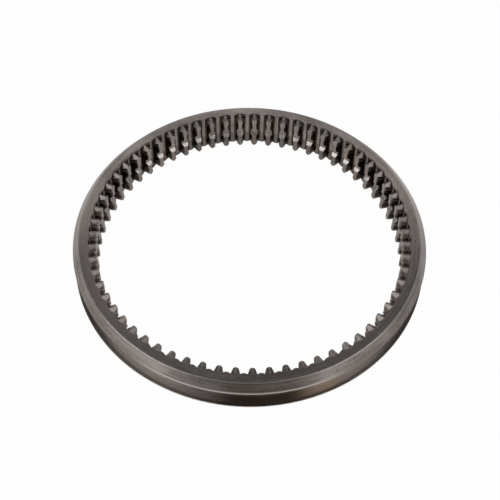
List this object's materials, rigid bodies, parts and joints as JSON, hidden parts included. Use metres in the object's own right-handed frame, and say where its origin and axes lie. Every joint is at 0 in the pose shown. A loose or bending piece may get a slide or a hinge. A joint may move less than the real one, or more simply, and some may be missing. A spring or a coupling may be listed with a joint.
{
  "type": "gearbox sliding sleeve",
  "caption": "Gearbox sliding sleeve: a turned steel ring with a shift fork groove outside and pointed internal teeth with a detent groove, which locks a gear to its hub.",
  "frame": {"origin": "centre of the bottom face, on the axis of the ring", "axes": "+Z along the axis of the ring from the bottom face to the top face, +X through the middle of one tooth"},
  "size_m": [0.178, 0.178, 0.0216],
  "materials": {
    "steel": "dark machined steel with fine turning marks"
  },
  "bodies": {
    "root": {"sliding_sleeve": "steel"}
  },
  "joints": []
}
